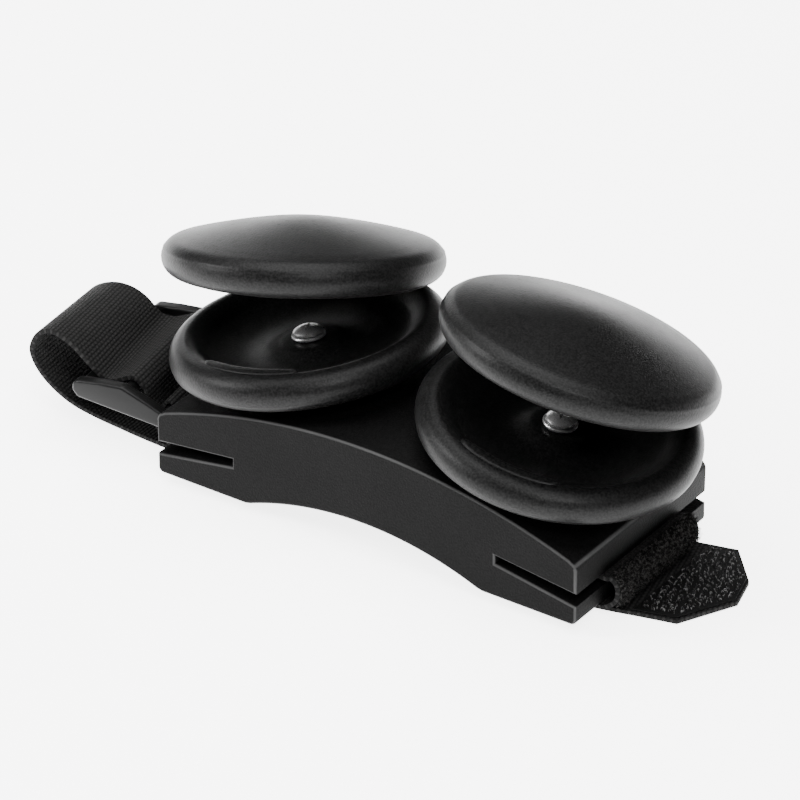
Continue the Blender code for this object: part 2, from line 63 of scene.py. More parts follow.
class Tone:
    """A value that varies over a surface, on which arithmetic adds the shader's own nodes."""

    def __init__(self, finish, socket):
        self.finish = finish
        self.socket = socket

    def step(self, operation, *values):
        return self.finish.node("ShaderNodeMath", {"operation": operation}, dict(enumerate(values)))

    def __add__(self, other):
        return self.step("ADD", self, other)

    def __sub__(self, other):
        return self.step("SUBTRACT", self, other)

    def __rsub__(self, other):
        return self.step("SUBTRACT", other, self)

    def __mul__(self, other):
        return self.step("MULTIPLY", self, other)

    def __truediv__(self, other):
        return self.step("DIVIDE", self, other)

    __radd__ = __add__
    __rmul__ = __mul__

    def sine(self):
        return self.step("SINE", self)

    def size(self):
        return self.step("ABSOLUTE", self)

    def whole(self):
        return self.step("FLOOR", self)

    def power(self, exponent):
        return self.step("POWER", self, exponent)

    def rise(self, start, end):
        """0 below start, 1 above end and smooth between them."""
        settings = {"interpolation_type": "SMOOTHSTEP"}
        return self.finish.node("ShaderNodeMapRange", settings, {0: self, 1: start, 2: end, 3: 0.0, 4: 1.0})


class Finish:
    """The surface of one material of the castanets."""

    def __init__(self, name, roughness, metallic=0.0, specular=0.5):
        self.material = bpy.data.materials.new(name)
        self.material.use_nodes = True
        self.tree = self.material.node_tree
        self.shader = self.tree.nodes["Principled BSDF"]
        self.set("Roughness", roughness)
        self.set("Metallic", metallic)
        self.set("Specular IOR Level", specular)

    def node(self, kind, settings, values, output=0):
        made = self.tree.nodes.new(kind)
        for key, value in settings.items():
            setattr(made, key, value)
        for key, value in values.items():
            self.feed(made.inputs[key], value)
        return Tone(self, made.outputs[output])

    def feed(self, socket, value):
        if isinstance(value, Tone):
            self.tree.links.new(value.socket, socket)
        else:
            socket.default_value = value

    def set(self, name, value):
        self.feed(self.shader.inputs[name], value)

    def place(self):
        """Position on the piece in metres."""
        return self.node("ShaderNodeTexCoord", {}, {}, "Object")

    def grain(self, size, detail=2.0, vector=None):
        """Noise from 0 to 1 with lumps of about this size in metres."""
        values = {"Vector": vector or self.place(), "Scale": 1 / size, "Detail": detail}
        return self.node("ShaderNodeTexNoise", {}, values)

    def mix(self, share, first, second):
        """Colour between two, by a share from 0 to 1."""
        values = {0: share, 6: first, 7: second}
        return self.node("ShaderNodeMix", {"data_type": "RGBA"}, values, 2)

    def relief(self, height, depth, strength=1.0):
        """Raise the surface where height is 1 by a depth in metres."""
        values = {"Height": height, "Distance": depth, "Strength": strength}
        self.set("Normal", self.node("ShaderNodeBump", {}, values))


def grey(level, warmth=0.0):
    """A near-neutral colour."""
    return (level * (1 + warmth), level, level * (1 - warmth), 1.0)


def finished(name, bm, finish, smooth=35):
    """Make an object of a mesh that is already in its place."""
    mesh = bpy.data.meshes.new(name)
    bm.to_mesh(mesh)
    bm.free()
    mesh.shade_smooth()
    mesh.set_sharp_from_angle(angle=math.radians(smooth))
    mesh.materials.append(finish.material)
    made = bpy.data.objects.new(name, mesh)
    bpy.context.scene.collection.objects.link(made)
    return made


def fit(made, body, slot, *nodes):
    """Fix a piece to a body of the frame, in place of its nodes."""
    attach(made, body)
    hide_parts(*nodes)


def slab(outline, low, high, axis):
    """Extrude a closed outline along the Y or Z axis."""
    bm = bmesh.new()
    rise = (0, high - low, 0) if axis == "Y" else (0, 0, high - low)
    verts = [bm.verts.new((a, low, b) if axis == "Y" else (a, b, low)) for a, b in outline]
    face = bm.faces.new(verts)
    grown = bmesh.ops.extrude_face_region(bm, geom=[face])
    moved = [item for item in grown["geom"] if isinstance(item, bmesh.types.BMVert)]
    bmesh.ops.translate(bm, verts=moved, vec=rise)
    bmesh.ops.recalc_face_normals(bm, faces=bm.faces)
    return bm


def soften(bm, edges, width, segments):
    """Round a set of edges."""
    bmesh.ops.bevel(bm, geom=edges, offset=width, offset_type="OFFSET", segments=segments, profile=0.5,
                    affect="EDGES", material=-1, clamp_overlap=True)


def arc(centre, radius, start, end, steps):
    """Points on an arc between two angles in degrees."""
    turns = [math.radians(start + (end - start) * index / steps) for index in range(steps + 1)]
    return [(centre[0] + radius * math.cos(turn), centre[1] + radius * math.sin(turn)) for turn in turns]


board_low, board_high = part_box("base_board")
BOARD_HALF = board_high.x
BOARD_TOP = board_high.z
FOOT_Z = board_low.z
FOOT_X = 38 * MM
TOP_RADIUS = 188 * MM
ARCH_TOP = 10.2 * MM
ARCH_RADIUS = 100.4 * MM
SLOT_INNER = (42.0 * MM, 14.1 * MM)
SLOT_HALF = 1.2 * MM
SLOT_MOUTH = (12.4 * MM, 8.8 * MM)
LIP_ROUND = 1.6 * MM
END_ROUND = 2.4 * MM
RIM_ROUND = 0.7 * MM
END_ARC_DROP = 0.5 * MM
RUB_AND_HIGHLIGHT_RIM = (0.05, 0.75)
RUB_AND_HIGHLIGHT_CORNER = (0.12, 0.36)
SIDEWAYS = 0.1
SQUARE_ON = 0.99


def curve_z(x, top, radius):
    """Height of a shallow arch at a distance from its middle."""
    return top - radius + math.sqrt(radius ** 2 - x * x)


def board_outline(steps=36):
    """Right half of the board's section, from the middle of the top round to the middle of the arch."""
    top_end = curve_z(BOARD_HALF, BOARD_TOP, TOP_RADIUS)
    outline = [(x, curve_z(x, BOARD_TOP, TOP_RADIUS))
               for x in ((BOARD_HALF - END_ROUND) * index / steps for index in range(steps + 1))]
    outline += arc((BOARD_HALF - END_ROUND, top_end - END_ROUND + END_ARC_DROP), END_ROUND, 70, 0, 6)
    outline.append((BOARD_HALF, SLOT_MOUTH[0]))
    outline += [(SLOT_INNER[0], SLOT_INNER[1] + SLOT_HALF), (SLOT_INNER[0], SLOT_INNER[1] - SLOT_HALF)]
    outline.append((BOARD_HALF, SLOT_MOUTH[1]))
    outline += arc((BOARD_HALF - LIP_ROUND, FOOT_Z + LIP_ROUND), LIP_ROUND, 0, -90, 5)
    outline.append((FOOT_X, FOOT_Z))
    reach = math.sqrt(ARCH_RADIUS ** 2 - (ARCH_RADIUS - ARCH_TOP + FOOT_Z) ** 2)
    outline += [(x, curve_z(x, ARCH_TOP, ARCH_RADIUS))
                for x in (reach * index / steps for index in range(steps - 1, -1, -1))]
    return outline


right_half = board_outline()
left_half = [(-x, z) for x, z in reversed(right_half[1:-1])]
board_mesh = slab(right_half + left_half, board_low.y, board_high.y, "Y")
rims = [edge for edge in board_mesh.edges if edge.verts[0].co.y == edge.verts[1].co.y]
soften(board_mesh, rims, RIM_ROUND, 3)
# Marks thin bands on the rounded rims and top end corners for a painted highlight with some rubbing.
rub_and_highlight = board_mesh.loops.layers.float.new("rub_and_highlight")
rim_width = board_high.y - min(abs(vert.co.y) for vert in board_mesh.verts)
board_mesh.normal_update()
for face in board_mesh.faces:
    facing_front = abs(face.normal.y)
    for loop in face.loops:
        from_face = (board_high.y - abs(loop.vert.co.y)) / rim_width
        from_end = (BOARD_HALF - abs(loop.vert.co.x)) / END_ROUND
        on_rim = facing_front > SIDEWAYS and RUB_AND_HIGHLIGHT_RIM[0] < from_face < RUB_AND_HIGHLIGHT_RIM[1]
        high = loop.vert.co.z > SLOT_MOUTH[0] + 5 * MM
        on_corner = high and RUB_AND_HIGHLIGHT_CORNER[0] < from_end < RUB_AND_HIGHLIGHT_CORNER[1]
        loop[rub_and_highlight] = 1.0 if facing_front < SQUARE_ON and (on_rim or on_corner) else 0.0
BOARD_FINISH = Finish("matt board plastic", 0.5, specular=0.04)
skin = BOARD_FINISH.grain(0.5 * MM, 3)
cloud = BOARD_FINISH.grain(24 * MM, 3)
speckle = BOARD_FINISH.mix(skin.rise(0.3, 0.7), grey(0.0004), grey(0.0024))
rubbed_and_highlit = BOARD_FINISH.node("ShaderNodeAttribute", {"attribute_name": "rub_and_highlight"}, {}, "Fac")
# Painted highlight: the marked edge bands are mixed towards a lighter grey, with some rubbing.
BOARD_FINISH.set("Base Color", BOARD_FINISH.mix(rubbed_and_highlit * (0.3 + 0.7 * cloud), speckle, grey(0.045)))
BOARD_FINISH.set("Roughness", 0.46 + 0.14 * cloud + 0.06 * skin)
BOARD_FINISH.relief(skin, 0.14 * MM)
board = finished("board", board_mesh, BOARD_FINISH, 30)
for face in board.data.polygons:
    if abs(face.normal.y) > SQUARE_ON:
        face.use_smooth = False
fit(board, "base", "board_black", "base_board")

# The rubber seat pads: a disc under each lower shell, let into the board's top so that only its edge
# shows. The anchor screws: black countersunk screws, driven up through the lips of the board to hold
# the webbing ends in the slots.
RUBBER = Finish("seat rubber", 0.8, specular=0.3)
RUBBER.set("Base Color", RUBBER.mix(RUBBER.grain(2 * MM), grey(0.0015), grey(0.003)))
RUBBER.relief(RUBBER.grain(0.3 * MM), 0.04 * MM)
BLACK_OXIDE = Finish("black oxide", 0.4, metallic=0.9)
BLACK_OXIDE.set("Base Color", BLACK_OXIDE.mix(BLACK_OXIDE.grain(1.2 * MM), grey(0.03), grey(0.06)))
BLACK_OXIDE.set("Roughness", 0.34 + 0.2 * BLACK_OXIDE.grain(0.5 * MM))


def keep(node, finish):
    """Give a node of the frame its finish and leave its shape."""
    frame["nodes"][node].data.materials.clear()
    frame["nodes"][node].data.materials.append(finish.material)


SIDES = ("left", "right")
for name in SIDES:
    keep(name + "_seat_pad", RUBBER)
    for row in ("front", "back"):
        keep(f"{name}_anchor_screw_{row}", BLACK_OXIDE)

# The shells: four alike mouldings of black plastic, each a shallow dome with a thick round bead and a
# bowl inside. The two of a pair face each other. A raised crescent at the front of each is what
# strikes, and an ear at the back carries the hinge. The lower shells have a flat seat on their domes.
SHELL_RADIUS = 38 * MM
RIM_RISE = 0.5 * MM
DOME_DEPTH = 16.0 * MM
SEAT_DEPTH = 12.7 * MM
CREASE = (34.0 * MM, 10.2 * MM)
DOME_POWER = 1.35
CROWN_RADIUS = 9 * MM
BEAD_RADIUS = 5.13 * MM
BEAD_CENTRE = (SHELL_RADIUS - BEAD_RADIUS, 5.15 * MM)
BOWL = [(32.0, 0.3), (31.0, 0.9), (29.8, 1.8), (28.6, 2.9), (27.2, 4.1), (24.0, 5.6), (19.0, 6.9),
        (15.0, 7.1), (12.0, 6.6), (9.8, 5.6), (8.2, 4.8), (6.6, 4.5), (3.0, 4.5), (0.0, 4.5)]
LIP_RADII = (29.2 * MM, 33.2 * MM)
LIP_CENTRE = -85.0
LIP_HALF_ANGLE = 27.5
LIP_TOP = -0.15 * MM
LIP_DEPTH = 3.2 * MM
LIP_SOFTENING = 1.1 * MM
LIP_END_SHIFT = 0.5 * MM
GROOVE = (33.4 * MM, 0.9 * MM, 0.1 * MM)
SEAM = (7.6 * MM, 0.28 * MM, 0.14 * MM)
HINGE_Y = 39.8 * MM
EAR = [(34 * MM, LIP_TOP), (HINGE_Y, LIP_TOP), (43 * MM, -1.16 * MM), (43 * MM, -3.9 * MM),
       (34 * MM, -3.9 * MM)]
EAR_SOFTENING = 0.6 * MM
EAR_HALF_WIDTH = 14.5 * MM
CORD_X = 8 * MM
CORD_HOLE = 1.9 * MM


def flowing(points, steps):
    """Points on a smooth curve through points of any dimension."""
    padded = [points[0]] + list(points) + [points[-1]]
    path = []
    for before, start, end, after in zip(padded, padded[1:], padded[2:], padded[3:]):
        for step in range(steps):
            t = step / steps
            path.append(tuple(0.5 * (2 * b + (c - a) * t + (2 * a - 5 * b + 4 * c - d) * t * t
                                     + (3 * b - a - 3 * c + d) * t ** 3)
                              for a, b, c, d in zip(before, start, end, after)))
    path.append(tuple(points[-1]))
    return path


def fall(radius):
    """How far the dome has dropped at a radius, in no particular unit: round on top, then straighter."""
    return (radius ** 2 + CROWN_RADIUS ** 2) ** (DOME_POWER / 2) - CROWN_RADIUS ** DOME_POWER


def swell(at, line):
    """A narrow rise or groove across a section: line gives its place, half-width and height."""
    place, half_width, height = line
    return height * math.exp(-((at - place) / half_width) ** 2)


def shell_section(flat_depth):
    """Section of a shell as (radius, depth below the rim), from the middle of the dome into the bowl."""
    section = []
    dome_steps = 26
    for index in range(dome_steps + 1):
        radius = index / dome_steps * (CREASE[0] + 0.2 * MM)
        depth = DOME_DEPTH - (DOME_DEPTH - CREASE[1]) * fall(radius) / fall(CREASE[0])
        section.append((radius, min(depth, flat_depth) - swell(radius, GROOVE)))
    for across, deep in arc(BEAD_CENTRE, BEAD_RADIUS, 64, -90, 30):
        section.append((across + swell(deep, SEAM), deep))
    inside = flowing([(radius * MM, depth * MM) for radius, depth in BOWL], 3)
    return section + inside


def turned(section, steps):
    """Turn a section of (radius, height) points about the Z axis."""
    bm = bmesh.new()
    verts = [bm.verts.new((radius, 0, height)) for radius, height in section]
    edges = [bm.edges.new(pair) for pair in zip(verts, verts[1:])]
    bmesh.ops.spin(bm, geom=verts + edges, cent=(0, 0, 0), axis=(0, 0, 1), angle=math.tau, steps=steps,
                   use_merge=True)
    bmesh.ops.remove_doubles(bm, verts=bm.verts, dist=0.001 * MM)
    bmesh.ops.recalc_face_normals(bm, faces=bm.faces)
    return bm


def gather(bm, extra):
    """Add a second mesh to the first."""
    carrier = bpy.data.meshes.new("carrier")
    extra.to_mesh(carrier)
    extra.free()
    bm.from_mesh(carrier)
    bpy.data.meshes.remove(carrier)


def crescent(centre):
    """The striking lip: a curved pad with tapered round ends and a softened top."""
    steps = 28
    inner, outer = [], []
    for index in range(steps + 1):
        share = 2 * index / steps - 1
        turn = math.radians(centre + LIP_HALF_ANGLE * share)
        pinch = (LIP_RADII[1] - LIP_RADII[0]) / 2 * (1 - math.sqrt(max(0.0, 1 - abs(share) ** 5)))
        shift = LIP_END_SHIFT * share * share
        for line, radius in ((inner, LIP_RADII[0] + pinch), (outer, LIP_RADII[1] - pinch)):
            line.append(((radius + shift) * math.cos(turn), (radius + shift) * math.sin(turn)))
    outline = outer + inner[-2:0:-1]
    bm = slab(outline, LIP_TOP - LIP_DEPTH, LIP_TOP, "Z")
    tops = [edge for edge in bm.edges if all(vert.co.z > LIP_TOP - 0.01 * MM for vert in edge.verts)]
    soften(bm, tops, LIP_SOFTENING, 5)
    return bm


def carved(body, tool):
    """Cut one closed mesh out of another."""
    pair = []
    for bm in (body, tool):
        mesh = bpy.data.meshes.new("stock")
        bmesh.ops.recalc_face_normals(bm, faces=bm.faces)
        bm.to_mesh(mesh)
        bm.free()
        pair.append(bpy.data.objects.new("stock", mesh))
        bpy.context.scene.collection.objects.link(pair[-1])
    cut = pair[0].modifiers.new("cut", "BOOLEAN")
    cut.object = pair[1]
    cut.operation = "DIFFERENCE"
    result = bmesh.new()
    result.from_mesh(pair[0].evaluated_get(bpy.context.evaluated_depsgraph_get()).data)
    for stock in pair:
        bpy.data.objects.remove(stock)
    return result


def shell(flat_depth, lip_centre):
    """A shell with its dome down and its rim just under the middle plane of the pair."""
    section = [(radius, -RIM_RISE - depth) for radius, depth in shell_section(flat_depth)]
    bm = turned(section, 120)
    gather(bm, crescent(lip_centre))
    ear = slab([(-y, z) for y, z in EAR], -EAR_HALF_WIDTH, EAR_HALF_WIDTH, "Y")
    bmesh.ops.transform(ear, matrix=Matrix.Rotation(-math.pi / 2, 4, "Z"), verts=ear.verts)
    soften(ear, list(ear.edges), EAR_SOFTENING, 3)
    for x in (-CORD_X, CORD_X):
        drill = bmesh.new()
        bmesh.ops.create_cone(drill, cap_ends=True, segments=32, radius1=CORD_HOLE, radius2=CORD_HOLE,
                              depth=12 * MM, matrix=Matrix.Translation((x, HINGE_Y, 0)))
        ear = carved(ear, drill)
    gather(bm, ear)
    return bm


SHELL_FINISH = Finish("satin shell plastic", 0.36, specular=0.1)
orange_peel = SHELL_FINISH.grain(0.55 * MM, 2)
haze = SHELL_FINISH.grain(14 * MM, 4)
rubs = SHELL_FINISH.grain(1.6 * MM, 6).rise(0.58, 0.72)
SHELL_FINISH.set("Base Color", SHELL_FINISH.mix(orange_peel.rise(0.3, 0.7), grey(0.0003), grey(0.0065)))
SHELL_FINISH.set("Roughness", 0.36 + 0.12 * haze + 0.06 * rubs)
SHELL_FINISH.relief(orange_peel, 0.07 * MM)

pair_place, open_place = {}, {}
for name in SIDES:
    joint = next(joint for joint in frame["joints"] if joint["name"] == name + "_shell_hinge")
    across = -Vector(joint["axis"])
    back = Vector((0, 1, 0))
    turn = Matrix((across, back, across.cross(back))).transposed().to_4x4()
    hinge = Matrix.Translation(Vector(joint["pos_m"])) @ turn
    pair_place[name] = hinge @ Matrix.Translation((0, -HINGE_Y, 0))
    closed = math.radians(joint["range_deg"][0])
    open_place[name] = hinge @ Matrix.Rotation(closed, 4, "X")
    lower = shell(SEAT_DEPTH, LIP_CENTRE)
    bmesh.ops.transform(lower, matrix=pair_place[name], verts=lower.verts)
    fit(finished(name + "_lower", lower, SHELL_FINISH), "base", "shell_black", name + "_lower_shell")
    upper = shell(DOME_DEPTH, -180 - LIP_CENTRE)
    turn_over = Matrix.Translation((0, -HINGE_Y, 0)) @ Matrix.Rotation(math.pi, 4, "Y")
    bmesh.ops.transform(upper, matrix=open_place[name] @ turn_over, verts=upper.verts)
    fit(finished(name + "_upper", upper, SHELL_FINISH), name + "_castanet", "shell_black",
        name + "_upper_shell")

# The shell screws: plated steel screws with a low round head, a cross recess and a plain washer. Each
# goes down through the boss in a lower bowl and the seat pad into the board.
BOSS_TOP = -5.0 * MM
WASHER_RADIUS = 4.7 * MM
WASHER_LAYERS = (0.3 * MM, 1.1 * MM)
HEAD_RADIUS = 4.1 * MM
HEAD_BASE = 1.4 * MM
HEAD_HEIGHT = 2.0 * MM
SHANK_RADIUS = 2.0 * MM
SHANK_LENGTH = 18 * MM
POINT_LENGTH = 3 * MM
HEAD_DOME_RADIUS = 7 * MM
RECESS_RADII = (1.2 * MM, 4.2 * MM)
RECESS_LENGTH = 3 * MM
RECESS_RISE = 2.1 * MM
RECESS_SLIMNESS = 0.28
RECESS_TURN = 0.35
WASHER_BEVEL = 0.2 * MM
WASHER_BORE = SHANK_RADIUS + 0.3 * MM

PLATING = Finish("bright plating", 0.3, metallic=0.92)
scuff = PLATING.grain(0.25 * MM, 4)
PLATING.set("Base Color", PLATING.mix(PLATING.grain(1.5 * MM), grey(0.5), grey(0.75)))
PLATING.set("Roughness", 0.2 + 0.2 * scuff)
PLATING.relief(scuff, 0.01 * MM)

for name in SIDES:
    dome = arc((0, HEAD_BASE + HEAD_HEIGHT - HEAD_DOME_RADIUS), HEAD_DOME_RADIUS, 57, 90, 10)
    section = [(0, HEAD_BASE - SHANK_LENGTH), (SHANK_RADIUS, HEAD_BASE - SHANK_LENGTH + POINT_LENGTH),
               (SHANK_RADIUS, HEAD_BASE), (HEAD_RADIUS - 0.2 * MM, HEAD_BASE),
               (HEAD_RADIUS, HEAD_BASE + 0.25 * MM), (HEAD_RADIUS, HEAD_BASE + 0.6 * MM)]
    head = turned(section + dome[:-1] + [(0, HEAD_BASE + HEAD_HEIGHT)], 64)
    for quarter in (0, 1):
        blade = bmesh.new()
        bmesh.ops.create_cone(blade, cap_ends=True, segments=4, radius1=RECESS_RADII[0],
                              radius2=RECESS_RADII[1], depth=RECESS_LENGTH,
                              matrix=Matrix.Translation((0, 0, HEAD_BASE + RECESS_RISE)))
        turned_blade = Matrix.Rotation(quarter * math.pi / 2 + RECESS_TURN, 4, "Z")
        slim = turned_blade @ Matrix.Diagonal((1, RECESS_SLIMNESS, 1, 1))
        bmesh.ops.transform(blade, matrix=slim, verts=blade.verts)
        head = carved(head, blade)
    seat = pair_place[name] @ Matrix.Translation((0, 0, BOSS_TOP))
    bmesh.ops.transform(head, matrix=seat, verts=head.verts)
    fit(finished(name + "_screw", head, PLATING, 30), "base", "chrome", name + "_shell_screw")
    low, high = WASHER_LAYERS
    shoulder = WASHER_RADIUS - WASHER_BEVEL
    ring = [(WASHER_BORE, low), (shoulder, low), (WASHER_RADIUS, low + WASHER_BEVEL),
            (WASHER_RADIUS, high - WASHER_BEVEL), (shoulder, high), (WASHER_BORE, high), (WASHER_BORE, low)]
    washer = turned(ring, 64)
    bmesh.ops.transform(washer, matrix=seat, verts=washer.verts)
    fit(finished(name + "_washer", washer, PLATING, 30), "base", "chrome", name + "_screw_washer")

# The hinge cords: one ring of black braided elastic for each pair, hooked through two holes in both
# ears. It holds the shells together and springs them apart. Each half of the ring goes with its shell.
CORD_RADIUS = 1.2 * MM
CORD_BEND = 2.6 * MM
CORD_DEPTH = 5.4 * MM
CORD_END = 0.38 * MM
BRAID_PITCH = 1.0 * MM

BRAID = Finish("braided elastic", 0.75, specular=0.25)
wide, high = (BRAID.node("ShaderNodeSeparateXYZ", {}, {0: BRAID.place()}, axis) for axis in (0, 2))
one_way = ((wide + high) * (math.pi / BRAID_PITCH)).sine().size()
other_way = ((wide - high) * (math.pi / BRAID_PITCH)).sine().size()
crossings = one_way * other_way
BRAID.set("Base Color", BRAID.mix(crossings.power(0.5), grey(0.001), grey(0.006)))
BRAID.relief(crossings, 0.15 * MM)


def tube(name, route, radius, finish):
    """A round cord along a route, as a mesh."""
    curve = bpy.data.curves.new(name, "CURVE")
    curve.dimensions = "3D"
    curve.bevel_depth = radius
    curve.bevel_resolution = 4
    curve.use_fill_caps = True
    spline = curve.splines.new("POLY")
    spline.points.add(len(route) - 1)
    for point, place in zip(spline.points, route):
        point.co = (*place, 1)
    return as_mesh(name, curve, finish)


def as_mesh(name, curve, finish):
    """Turn a curve into a mesh piece."""
    drawn = bpy.data.objects.new(name + " line", curve)
    bpy.context.scene.collection.objects.link(drawn)
    mesh = bpy.data.meshes.new_from_object(drawn.evaluated_get(bpy.context.evaluated_depsgraph_get()))
    bpy.data.objects.remove(drawn)
    mesh.materials.clear()
    mesh.materials.append(finish.material)
    mesh.shade_smooth()
    made = bpy.data.objects.new(name, mesh)
    bpy.context.scene.collection.objects.link(made)
    return made


for name in SIDES:
    lower_axis = pair_place[name] @ Matrix.Translation((0, HINGE_Y, 0))
    for half, body, place, up in (("lower", "base", lower_axis, 1),
                                  ("upper", name + "_castanet", open_place[name], -1)):
        corner = arc((CORD_X - CORD_BEND, -(CORD_DEPTH - CORD_BEND)), CORD_BEND, 0, -90, 8)
        leg = [(CORD_X, -CORD_END)] + corner
        route = leg + [(-x, z) for x, z in reversed(leg)]
        points = [place @ Vector((x, 0, z * up)) for x, z in route]
        cord = tube(f"{name}_cord_{half}", points, CORD_RADIUS, BRAID)
        fit(cord, body, "cord_black", f"{name}_hinge_cord_{half}")

# The buckle: a ladder-lock moulded in one piece of smooth black nylon. Two cambered side rails are
# joined by three cross bars: the swivel bar in the tab, the centre bar that the webbing goes over and
# the flat thumb bar at the free end.
buckle_joint = next(joint for joint in frame["joints"] if joint["name"] == "buckle_swing")
swing_axis = Vector(buckle_joint["axis"])
BUCKLE_PITCH = math.radians(8)
BUCKLE_HALF = 24.6 * MM
RAIL_WIDTH = 3.6 * MM
BAR_RADIUS = 1.7 * MM
RAIL = [(2.6, -1.9), (3.4, 0.0), (2.8, 2.0), (-4.0, 4.0), (-12.6, 6.2), (-19.5, 4.9), (-26.2, 3.2),
        (-27.4, 1.8), (-27.2, -0.2), (-25.4, -1.9)]
CENTRE_BAR = (-12.0 * MM, 3.4 * MM)
THUMB_BAR = [(-27.0, -2.0), (-21.6, -2.0), (-21.2, -0.4), (-22.4, 1.1), (-26.6, 1.1)]

buckle_yaw = math.atan2(-swing_axis.x, swing_axis.y)
buckle_place = (Matrix.Translation(Vector(buckle_joint["pos_m"])) @ Matrix.Rotation(buckle_yaw, 4, "Z")
                @ Matrix.Rotation(BUCKLE_PITCH, 4, "Y"))
NYLON = Finish("smooth nylon", 0.34, specular=0.11)
ripple = NYLON.grain(5 * MM, 3)
NYLON.set("Base Color", NYLON.mix(ripple, grey(0.0028), grey(0.004)))
NYLON.set("Roughness", 0.28 + 0.14 * NYLON.grain(0.8 * MM, 4))
NYLON.relief(NYLON.grain(0.35 * MM), 0.012 * MM)

inside = BUCKLE_HALF - RAIL_WIDTH
buckle_mesh = bmesh.new()
for low, high in ((inside, BUCKLE_HALF), (-BUCKLE_HALF, -inside)):
    rail = slab([(x * MM, z * MM) for x, z in RAIL], low, high, "Y")
    soften(rail, list(rail.edges), 0.75 * MM, 4)
    gather(buckle_mesh, rail)
thumb = slab([(x * MM, z * MM) for x, z in THUMB_BAR], -inside - MM, inside + MM, "Y")
soften(thumb, [edge for edge in thumb.edges if edge.verts[0].co.y != edge.verts[1].co.y], 0.6 * MM, 3)
gather(buckle_mesh, thumb)
for x, z in ((0, 0), CENTRE_BAR):
    lay_down = Matrix.Translation((x, 0, z)) @ Matrix.Rotation(math.pi / 2, 4, "X")
    bar = bmesh.new()
    bmesh.ops.create_cone(bar, cap_ends=True, segments=32, radius1=BAR_RADIUS, radius2=BAR_RADIUS,
                          depth=2 * inside + 2 * MM, matrix=lay_down)
    gather(buckle_mesh, bar)
bmesh.ops.transform(buckle_mesh, matrix=buckle_place, verts=buckle_mesh.verts)
fit(finished("ladder_buckle", buckle_mesh, NYLON, 40), "buckle_loop", "buckle_black", "buckle")

# The webbing: 38 mm black polypropylene, woven with heavy ribs across its width. One length starts
# between the anchor screws in the right slot, turns under the board, runs left and up through the
# buckle, stands in an open loop and comes back flat along the ground to a trimmed end.
WEB_WIDTH = 38 * MM
WEB_THICKNESS = 1.2 * MM
RIB_PITCH = 1.08 * MM
WARP_PITCH = 1.5 * MM


def webbing_finish(name, length, width):
    """Ribbed webbing: rows of bulging weft crossed by fine warp, with painted shade where the yarns dip."""
    finish = Finish(name, 0.82, specular=0.08)
    uv = finish.node("ShaderNodeTexCoord", {}, {}, "UV")
    along = finish.node("ShaderNodeSeparateXYZ", {}, {0: uv}, 0) * length
    across = finish.node("ShaderNodeSeparateXYZ", {}, {0: uv}, 1) * width
    wander = finish.grain(6 * MM, 2) - 0.5
    row = (along + wander * (0.25 * MM)) / RIB_PITCH
    stagger = row.whole() * 0.5
    rib = (row * math.pi).sine().size()
    warp = ((across / WARP_PITCH + stagger) * math.pi).sine().size()
    yarn = rib.power(0.6) * (0.15 + 0.85 * warp.power(0.6))
    fibre = finish.grain(0.16 * MM, 3)
    edge = (across - width / 2).size().rise(width / 2 - 1.6 * MM, width / 2 - 0.9 * MM)
    # Painted shade: the colour is dark where the yarns dip and lighter on their crowns.
    weave_with_painted_shade = finish.mix(yarn * (0.75 + 0.5 * fibre), grey(0.0003), grey(0.015, 0.02))
    finish.set("Base Color", finish.mix(edge * 0.35, weave_with_painted_shade, grey(0.008)))
    finish.relief(yarn + fibre * 0.25, 0.34 * MM)
    return finish


def stations(rows):
    """Path stations from rows of x, z, sideways shift in mm, yaw and near-edge lift in degrees."""
    return [(x * MM, z * MM, shift * MM, math.radians(yaw), math.radians(lift))
            for x, z, shift, yaw, lift in rows]


def band(path, width, offset, columns=12):
    """A flat band laid along its stations, with its UV map running along and across it."""
    bm = bmesh.new()
    last = len(path) - 1
    bmesh.ops.create_grid(bm, x_segments=last, y_segments=columns, size=0.5)
    uv = bm.loops.layers.uv.new("weave")
    travel = [0.0]
    for first, second in zip(path, path[1:]):
        travel.append(travel[-1] + math.dist(first[:2], second[:2]))
    for face in bm.faces:
        for loop in face.loops:
            spot = travel[round((loop.vert.co.x + 0.5) * last)] / travel[-1]
            loop[uv].uv = (spot, loop.vert.co.y + 0.5)
    for vert in bm.verts:
        index = round((vert.co.x + 0.5) * last)
        x, z, shift, yaw, lift = path[index]
        back, front = path[max(index - 1, 0)], path[min(index + 1, last)]
        heading = Vector((front[0] - back[0], front[1] - back[1])).normalized()
        along = vert.co.y * width
        vert.co = (x - heading.y * offset - along * math.sin(yaw), shift + along * math.cos(yaw),
                   z + heading.x * offset - along * math.sin(lift))
    return bm, travel[-1]


def thicken(made, thickness, edge):
    """Give a band its thickness and its rounded selvages."""
    solid = made.modifiers.new("thickness", "SOLIDIFY")
    solid.thickness = thickness
    solid.offset = 0
    bevel = made.modifiers.new("selvage", "BEVEL")
    bevel.width = edge
    bevel.segments = 3
    bevel.limit_method = "ANGLE"
    bevel.angle_limit = math.radians(50)


